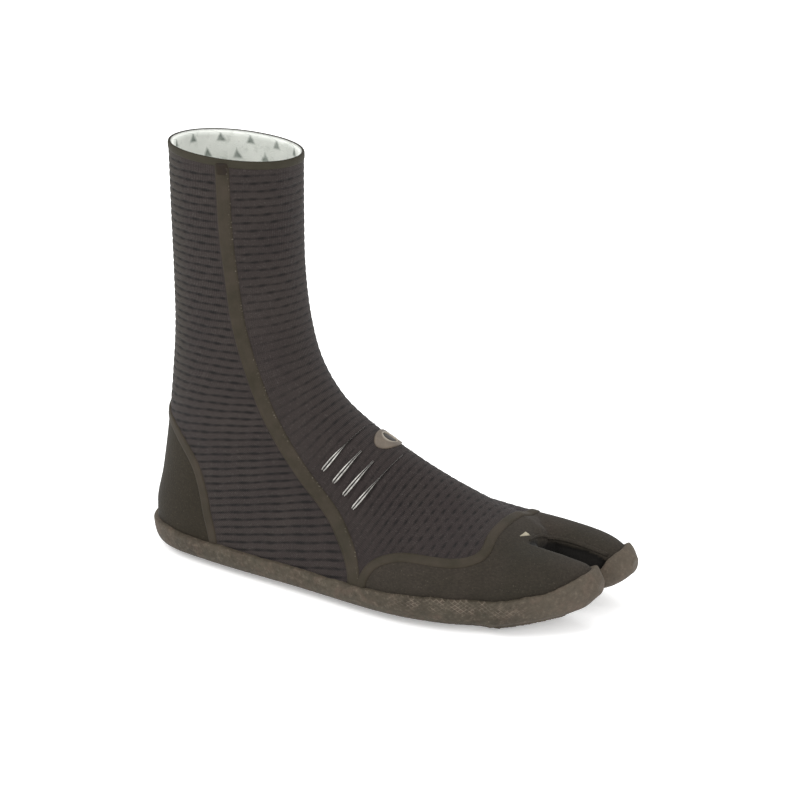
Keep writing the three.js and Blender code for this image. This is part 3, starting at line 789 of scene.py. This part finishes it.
def thermal_lining():
    s = Shader("thermal_lining", 0.95, Specular_IOR_Level=0.2, Sheen_Weight=0.1, Sheen_Roughness=0.6)
    u, v, _ = s.split(s.surface())
    wobble = s.noise(s.place(), 400, 2)
    across, down = 0.0162, 0.0175
    row = s.math("FLOOR", s.math("DIVIDE", v, down / 2))
    u = s.math("ADD", u, s.math("MULTIPLY", s.math("SUBTRACT", wobble, 0.5), 0.0012))
    u = s.math("ADD", u, s.math("MULTIPLY", row, across / 2))
    side = s.math("ABSOLUTE", s.math("SUBTRACT", s.math("FRACT", s.math("DIVIDE", u, across)), 0.5))
    depth = s.math("FRACT", s.math("DIVIDE", v, down / 2))
    edge = s.math("SUBTRACT", s.math("MULTIPLY", s.math("SUBTRACT", depth, 0.12), 0.26), side)
    shape = s.math("MULTIPLY", s.span(edge, -0.04, 0.05), s.span(depth, 0.78, 0.62))
    tint = s.math("MULTIPLY", shape, s.span(s.noise(s.place(), 260, 3), 0.3, 0.7, 0.65, 1.0))
    pile = s.noise(s.place(), 1500, 3, 0.7)
    base = s.mix(s.span(s.noise(s.place(), 60, 3), 0.3, 0.7), rgb(230, 233, 226), rgb(247, 249, 242))
    mottle = s.span(s.noise(s.place(), 190, 4, 0.7), 0.46, 0.3, 0, 0.45)
    base = s.mix(mottle, base, rgb(176, 182, 172))
    base = s.mix(tint, base, rgb(112, 122, 114))
    return s.finish(base, s.bump(pile, 0.0004))


def grip_rubber():
    """Glossy rubber with a painted highlight: pale crests at either side of each ridge's groove."""
    s = Shader("grip_rubber", 0.26, Coat_Weight=0.5, Coat_Roughness=0.15)
    u, v, _ = s.split(s.surface())
    out = s.math("ABSOLUTE", u)
    # painted highlight: pale streaks along both crests, patchy, fading towards each ridge's inner end
    crest = s.math("MULTIPLY", s.span(out, 0.0003, 0.00055), s.span(out, 0.00125, 0.00095))
    patchy = s.span(s.noise(s.place(), 300, 3, 0.6), 0.34, 0.6, 0.35, 1.0)
    crest_highlight = s.math("MULTIPLY", s.math("MULTIPLY", crest, patchy), s.span(v, 0.011, 0.018, 1.0, 0.3))
    base = s.mix(crest_highlight, rgb(52, 48, 45), rgb(206, 203, 197))
    return s.finish(base, s.bump(s.noise(s.place(), 900, 3), 0.00004), s.span(patchy, 0, 1, 0.34, 0.22))


def badge_rubber():
    """Dull moulded rubber, paler round the hole."""
    s = Shader("badge_rubber", 0.5, Specular_IOR_Level=0.35)
    share, _, _ = s.split(s.surface())
    cloud = s.noise(s.place(), 160, 4, 0.6)
    base = s.mix(s.span(cloud, 0.35, 0.65), rgb(96, 87, 78), rgb(112, 102, 91))
    base = s.mix(s.span(share, 0.00026, 0.0001, 0, 0.85), base, rgb(164, 156, 144))
    return s.finish(base, s.bump(s.noise(s.place(), 900, 3), 0.00006), s.span(cloud, 0.3, 0.7, 0.42, 0.58))


def smooth_rubber(name, color, roughness, grain=0.00004, **inputs):
    s = Shader(name, roughness, **inputs)
    cloud = s.noise(s.place(), 160, 4, 0.6)
    lighter = tuple(min(1.0, c * 1.35) for c in color[:3]) + (1.0,)
    base = s.mix(s.span(cloud, 0.35, 0.65), color, lighter)
    return s.finish(base, s.bump(s.noise(s.place(), 900, 3), grain),
                    s.span(cloud, 0.3, 0.7, roughness - 0.06, roughness + 0.08))


RIBBED = ribbed_neoprene()
KNIT = plain_knit("knit_neoprene", rgb(55, 51, 44), rgb(63, 59, 52))
TOE_KNIT = plain_knit("toe_knit", rgb(58, 55, 49), rgb(70, 65, 60), walls=True)
TAPE = seam_tape("seam_tape", rgb(58, 54, 46), rgb(71, 65, 58))
EDGE = seam_tape("cuff_edge", rgb(58, 55, 47), rgb(67, 64, 56), rgb(50, 47, 40))
PATCH = seam_tape("tape_patch", rgb(48, 43, 33), rgb(58, 52, 42))
RUBBER, LINING = sole_rubber(), thermal_lining()
GRIP, BADGE = grip_rubber(), badge_rubber()
GRIP_PAD = smooth_rubber("pad_rubber", rgb(48, 44, 41), 0.4, Specular_IOR_Level=0.3)
TACK = smooth_rubber("tack_fabric", rgb(158, 151, 134), 0.8, 0.0001, Specular_IOR_Level=0.2)
BOTTOM = smooth_rubber("bottom_neoprene", rgb(50, 47, 44), 0.9, 0.0002, Specular_IOR_Level=0.2)

# ---- pieces ----
behind_toe = in_front_of_toe < SEAM_LAP
front_panel = panel("front_panel", (in_front_of_side > -SEAM_LAP) & behind_toe, RIBBED)
rear = (in_front_of_side < SEAM_LAP) & (in_front_of_heel > -SEAM_LAP)
quarters = {"lateral": panel("lateral_quarter", rear & (gy < 0.8), RIBBED),
            "medial": panel("medial_quarter", rear & (gy > -0.8), RIBBED)}
heel_panel = panel("heel_panel", in_front_of_heel < SEAM_LAP, KNIT)

toe_field = across_line(TOE_SEAM, skin_verts[:, 0], skin_verts[:, 2])
toe_keep = (toe_field > -0.8) & (skin_verts[:, 2] > rand_edge(skin_verts[:, 0], skin_verts[:, 1]) - UNDER_RAND)
toe_tris = skin_tris[toe_keep[skin_tris].all(1)]
tv, tf, tn = compact(skin_verts, toe_tris, skin_normals)
# the walls of the split are recessed: the small toes' side from a crisp edge, the big toe's under a rolled one
tx, ty, tz = tv.T
split_end = np.interp(ty, [-9, -3.5, 3, 11, 16.5], [175.0, 174.5, 175.8, 176.6, 179])
near_wall = smoothstep(ty + 8.1 - 0.4 * (tx - 175.8), 0, 1.4) * (ty < 16.5)
near_wall = near_wall * smoothstep(tx - split_end, 0, 1.4)
far_wall = (1 - smoothstep(tz - np.interp(tx, [172, 181, 195, 208], [33.2, 33.4, 31.6, 28.6]), -1.2, 0.4))
far_wall *= (ty >= 9) * (ty < 24) * smoothstep(tx, 174, 177)
# painted shade: where the split's sides are darkened in the toe knit
split_painted_shade = np.maximum(near_wall, far_wall)
tv = tv - tn * (0.9 * near_wall + 0.8 * far_wall)[:, None]
count = len(tv)
tv, tf = skirted(tv, tf, tn, SKIRT)
toe_panel = make("toe_panel", tv, tf, TOE_KNIT)
# these marks drive the toe knit's painted shade in the split
mark(toe_panel, "split", np.pad(split_painted_shade, (0, len(tv) - count)))
split_line = [[174.6, -4.5, 41], [174.9, 3, 40.5], [175.4, 11, 38], [178, 16.7, 35.6], [182, 17.8, 35.0],
              [188, 17.9, 34.8], [194, 17.6, 34.2], [202, 17.4, 33.0], [208.5, 18.2, 31.2]]
split_edge = strip("split_edge", split_line, 2.2, 0.7, TOE_KNIT,
                   taper=lambda t: 0.3 + 0.7 * smoothstep(t, 0, 0.3))

sole = outsole("outsole", RUBBER)

tapes = {}
for side, line in side_lines.items():
    line = above_rand(line)
    line = line[line[:, 2] < rim(line[:, 0]) - TAPE_TOP]
    tapes[side] = strip(side + "_tape", line, *SEAM_TAPE, TAPE)
toe_tape = strip("toe_tape", toe_line, *EDGE_TAPE, TAPE)
heel_tape = strip("heel_tape", heel_line, *EDGE_TAPE, TAPE)
HEEL_TOP = 80             # where the back tape meets the heel panel
back_line = grid[:, HALF]
back_line = back_line[(back_line[:, 2] > HEEL_TOP) & (back_line[:, 2] < HEIGHT - TAPE_TOP)]
back_tape = strip("back_tape", back_line, *BACK_TAPE, TAPE)
patches = {}
for side, line in side_lines.items():
    line = line[np.abs(line[:, 2] - rim(line[:, 0]) + 5.5) < 3.6]
    patches[side] = strip(side + "_tape_patch", line, *TAPE_PATCH, PATCH)


def cuff_profile(offsets, heights, name, material):
    """A ring round the mouth of the shaft with this section. Heights are from the rim."""
    rings = []
    for offset, height in zip(offsets, heights):
        t = 1 + max(-height, 0) / (FOOT[1, 1] - FOOT[2, 1])
        ring = outline(FOOT, np.array([t]), turns, offset)[0]
        ring[:, 2] = rim(ring[:, 0]) + height
        rings.append(ring)
    rings = np.array(rings)
    n, m = rings.shape[:2]
    faces = ring_faces(n, m, closed=True)
    length = np.arange(m) / m * 0.21           # the mouth is 0.21 m round
    return make(name, rings.reshape(-1, 3), faces, material, pairs(length, np.arange(n) * MM))


cuff = cuff_profile(
    [-1.3, -1.25, -1.0, -0.6, -0.2, 0.12, 0.28, 0.28, 0.1, -0.8, -2.2],
    [-2.0, -0.5, -0.15, 0, -0.1, -0.5, -1.2, -3.3, -4.0, -4.4, -4.4], "cuff_edge", EDGE)


def lining(name, material):
    t = np.concatenate([np.linspace(1.01, 4, 60), np.linspace(4.1, 14, 90)])
    inner, outer = (outline(FOOT, t, turns[::2], -depth, SOLE + depth) for depth in LINING_FACES)
    brim = outline(FOOT, t[:1], turns[::2], -1.05)[0]
    inner[0] = brim
    outer[0] = brim * 0.7 + outer[0] * 0.3
    for layer in (inner, outer):
        x, z = layer[..., 0], layer[..., 2]
        layer[..., 2] = z - (HEIGHT - rim(x)) * smoothstep(z, 165, HEIGHT)
    inner[0, :, 2] = rim(brim[:, 0]) - 0.3
    outer[0, :, 2] = rim(brim[:, 0]) - 0.8
    n, m = inner.shape[:2]
    faces = ring_faces(n, m, flipped=True)
    step = np.linalg.norm(np.roll(inner, -1, 1) - inner, axis=2)
    u = np.concatenate([np.zeros((n, 1)), np.cumsum(step, 1)[:, :-1]], 1)
    uv = np.stack([u, np.broadcast_to((HEIGHT - catmull(FOOT, t)[:, 3])[:, None], u.shape)], -1) * MM
    count = len(inner.reshape(-1, 3))
    verts = np.vstack([inner.reshape(-1, 3), outer.reshape(-1, 3)])
    faces += [[f[3] + count, f[2] + count, f[1] + count, f[0] + count] for f in faces]
    faces += [[k, (k + 1) % m, count + (k + 1) % m, count + k] for k in range(m)]
    end = (n - 1) * m
    faces += [list(range(end, end + m)), list(range(count + end, count + end + m))[::-1]]
    return make(name, verts, faces, material, np.vstack([uv.reshape(-1, 2)] * 2))


sock = lining("lining", LINING)

# ---- grip ridges and badge ----
FALL = math.radians(33)
ALONG = np.array([math.cos(FALL), 0, -math.sin(FALL)])
OUT = np.array([math.sin(FALL), 0, math.cos(FALL)])
MIDDLE = np.array([88, 3, 77.0])
BADGE_MIDDLE = MIDDLE + [0, 3.5, 0]


def instep_line(offset, y0, y1, count=24):
    """Points on the instep at offset along it, from y0 to y1 across it."""
    found = []
    for y in np.linspace(y0, y1, count):
        start = MIDDLE + ALONG * offset + np.array([0, y, 0]) + OUT * 40
        hit = skin_tree.ray_cast(Vector(start), Vector(-OUT))
        if hit[0] is not None:
            found.append(hit[0][:])
    return np.array(found)


def twin(s):
    """Two crests with a groove between them."""
    return 1.0 - 0.75 * np.exp(-(s / 0.3) ** 2) - np.abs(s) ** 4 * 0.9


def wedge(t):
    return 0.4 + 0.6 * (1 - smoothstep(t, 0.3, 1.0)) - 0.3 * (1 - smoothstep(t, 0, 0.06))


def whisker(t):
    """A ridge that runs out into a thin line over the crest of the instep."""
    return 0.14 + 0.86 * (1 - smoothstep(t, 0.15, 0.62)) - 0.3 * (1 - smoothstep(t, 0, 0.05))


ridges = []
for k, reach in enumerate(RIDGE_REACHES):
    offset = (k - 1.5) * RIDGE_PITCH
    outermost = k in (0, 3)
    for side, sign in (("lateral", -1), ("medial", 1)):
        inner = 3.4 if outermost else 16 if side == "lateral" else 19
        line = instep_line(offset, sign * reach, sign * inner)
        ridge = strip(f"{side}_grip_ridge_{k + 1}", line, *RIDGE, GRIP, profile=twin,
                      taper=whisker if outermost else wedge, step=0.5, columns=17)
        ridges.append((ridge, f"{side}_grip_ridge_{k + 1}"))


BADGE_TURNS = np.linspace(0, 2 * math.pi, 72, endpoint=False)


def oval(long, wide):
    """Points on the instep under an oval round the badge's middle."""
    found = []
    for a in BADGE_TURNS:
        across = np.array([0, math.sin(a) * wide / 2, 0])
        start = BADGE_MIDDLE + ALONG * math.cos(a) * long / 2 + across + OUT * 30
        found.append(skin_tree.ray_cast(Vector(start), Vector(-OUT))[0][:])
    return on_skin(np.array(found))


def badge_plate(name, material):
    """An oval plate with a smaller hole in it."""
    shares = np.concatenate([[0, 0.04, 0.12, 0.22], np.linspace(0.34, 0.9, 6), [0.96, 1.0]])
    heights = [0.55, 0.95, 1.05, 0.85] + [0.8, 0.8, 0.82, 0.85, 0.9, 0.88] + [0.7, 0.3]
    rings = []
    for share, height in zip(shares, heights):
        low, away = oval(*(BADGE_HOLE + (BADGE_OUTER - BADGE_HOLE) * share))
        rings.append(low + away * (0.1 + height))
    for k, size in ((0, BADGE_HOLE), (len(rings) + 1, BADGE_OUTER)):
        low, away = oval(*size)
        rings.insert(k, low - away)
    rings = np.array(rings)
    n, m = rings.shape[:2]
    faces = ring_faces(n, m, closed=True, flipped=True)
    across = np.concatenate([[-0.05], shares, [1.05]]) * MM
    uv = pairs(BADGE_TURNS * MM, across)[:, ::-1]
    return make(name, rings.reshape(-1, 3), faces, material, uv)


def badge_pad(name, long, wide, height, material):
    """A low crowned button inside the plate's hole."""
    low, away = oval(long, wide)
    rings = [low - away]
    for share in (1.0, 0.98, 0.9, 0.7, 0.45, 0.2):
        low, away = oval(long * share, wide * share)
        rings.append(low + away * (0.1 + height * (1 - share ** 8)))
    rings = np.array(rings)
    n, m = rings.shape[:2]
    faces = ring_faces(n, m)
    faces.append(list(range((n - 1) * m, n * m)))
    return make(name, rings.reshape(-1, 3), faces, material)


ring = badge_plate("badge_ring", BADGE)
pad = badge_pad("badge_pad", *PAD, 0.4, GRIP_PAD)
tack = strip("split_tack", [[169.8, -5.2, 43], [170.8, -2.5, 43], [171.6, 0.6, 43.0]], 3.4, 0.5, TACK,
             taper=lambda t: 0.08 + 0.92 * t, step=0.35, columns=9)


def bend(piece, *nodes):
    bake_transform(piece)
    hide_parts(*nodes)


bend(front_panel, "front_panel_shin", "front_panel_ankle", "front_panel_instep")
for side, piece in quarters.items():
    bend(piece, side + "_quarter_shaft", side + "_quarter_ankle", side + "_quarter_foot")
for side, piece in tapes.items():
    bend(piece, side + "_tape_shaft", side + "_tape_ankle", side + "_tape_foot")
bend(back_tape, "back_tape_shaft", "back_tape_ankle")
bend(sock, "shaft_lining", "ankle_lining", "foot_lining")
for piece, body, node, slot in [
        (cuff, "shaft", "cuff_edge", "cuff_edge"),
        (patches["lateral"], "shaft", "lateral_tape_patch", "cuff_edge"),
        (patches["medial"], "shaft", "medial_tape_patch", "cuff_edge"),
        (heel_panel, "foot", "heel_panel", "knit_neoprene"),
        (toe_panel, "foot", "toe_panel", "knit_neoprene"),
        (split_edge, "foot", "toe_panel", "knit_neoprene"),
        (sole, "foot", "outsole", "sole_rubber"),
        (toe_tape, "foot", "toe_tape", "seam_tape"),
        (heel_tape, "foot", "heel_tape", "seam_tape"),
        (ring, "foot", "badge_ring", "badge_rubber"),
        (pad, "foot", "badge_pad", "grip_rubber"),
        (tack, "foot", "split_tack", "tack_fabric"),
        *[(ridge, "foot", node, "grip_rubber") for ridge, node in ridges]]:
    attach(piece, body)
    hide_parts(node)

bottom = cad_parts["bottom_panel"]
bottom.data.materials.clear()
bottom.data.materials.append(BOTTOM)

# ---- floor, light, camera ----
bpy.ops.mesh.primitive_plane_add(size=12, location=(0, 0, 0))
floor = bpy.context.object
floor.name = "floor"
paint = Shader("floor_paint", 0.9, Emission_Color=(1, 1, 1, 1), Emission_Strength=0.3)
pale, paler = (0.93, 0.93, 0.93, 1), (0.95, 0.95, 0.95, 1)
floor.data.materials.append(paint.finish(paint.mix(paint.noise(paint.place(), 3), pale, paler)))

world = bpy.data.worlds.new("studio")
bpy.context.scene.world = world
world.use_nodes = True
world.node_tree.nodes["Background"].inputs["Color"].default_value = (1, 1, 1, 1)
world.node_tree.nodes["Background"].inputs["Strength"].default_value = 1.0


def softbox(name, place, size, watts, aim=(0.06, 0, 0.1)):
    light = bpy.data.lights.new(name, "AREA")
    light.shape = "RECTANGLE"
    light.size, light.size_y = size
    light.energy = watts
    obj = bpy.data.objects.new(name, light)
    obj.location = place
    obj.rotation_euler = (Vector(aim) - Vector(place)).to_track_quat("-Z", "Y").to_euler()
    bpy.context.scene.collection.objects.link(obj)


softbox("key", (-0.9, -1.0, 1.5), (1.0, 1.0), 18)
softbox("fill", (1.3, -0.8, 0.8), (0.9, 0.9), 8)
softbox("top", (0.1, 0.3, 1.7), (1.2, 1.2), 7)

AZIMUTH, ELEVATION, DISTANCE = math.radians(28.5), math.radians(18.7), 1.074
TARGET = Vector((0.066, 0, 0.106))
camera_data = bpy.data.cameras.new("camera")
camera_data.lens = 92.2
camera_data.sensor_width = 36
camera_data.shift_x = 0.0675
camera_data.shift_y = -0.02
camera = bpy.data.objects.new("camera", camera_data)
level = math.cos(ELEVATION)
away = Vector((math.sin(AZIMUTH) * level, -math.cos(AZIMUTH) * level, math.sin(ELEVATION)))
camera.location = TARGET + away * DISTANCE
camera.rotation_euler = (-away).to_track_quat("-Z", "Y").to_euler()
bpy.context.scene.collection.objects.link(camera)
bpy.context.scene.camera = camera
bpy.context.scene.view_settings.view_transform = "Standard"
